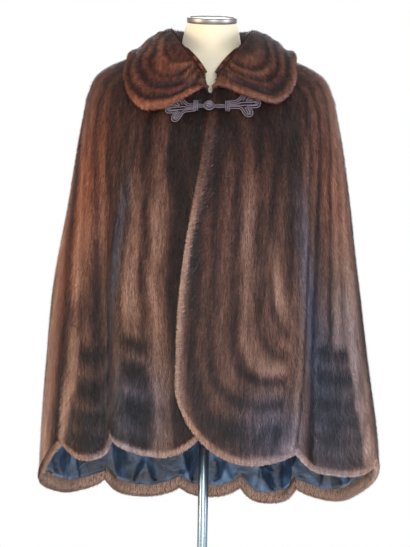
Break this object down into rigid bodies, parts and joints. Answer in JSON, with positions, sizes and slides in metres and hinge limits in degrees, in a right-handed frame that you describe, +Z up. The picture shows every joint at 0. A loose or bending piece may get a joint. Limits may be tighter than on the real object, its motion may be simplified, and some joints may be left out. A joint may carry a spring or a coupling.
{
  "type": "fur cape on a dress form",
  "caption": "Hip-length fur cape with a scalloped hem, turned-down collar and braided cord closure, on a limbless dress form with a pole and a round base.",
  "frame": {"origin": "middle of the stand base's underside, on the floor under the pole", "axes": "+Z up; the cape's front faces -Y; +X is the wearer's left"},
  "size_m": [0.7018, 0.546, 1.5094],
  "materials": {
    "fur": "long glossy brown fur in darker and lighter let-out strips",
    "lining": "dark navy satin",
    "cord": "dark braided silky cord",
    "form": "cream jersey stretched smooth",
    "cap": "dull warm metal",
    "chrome": "polished, silvery",
    "base": "satin grey"
  },
  "bodies": {
    "root": {"gore_front_left": "fur", "gore_front_right": "fur", "gore_side_front_left": "fur", "gore_side_back_left": "fur", "gore_back_left": "fur", "gore_back_centre": "fur", "gore_back_right": "fur", "gore_side_back_right": "fur", "gore_side_front_right": "fur", "collar": "fur", "lining": "lining", "closure_left": "cord", "closure_right": "cord", "closure_wrap_left": "cord", "closure_wrap_right": "cord", "closure_knot": "cord", "closure_loop": "cord", "form_torso": "form", "form_neck_cap": "cap", "stand_socket": "chrome", "stand_pole": "chrome", "stand_base": "base"}
  },
  "joints": []
}
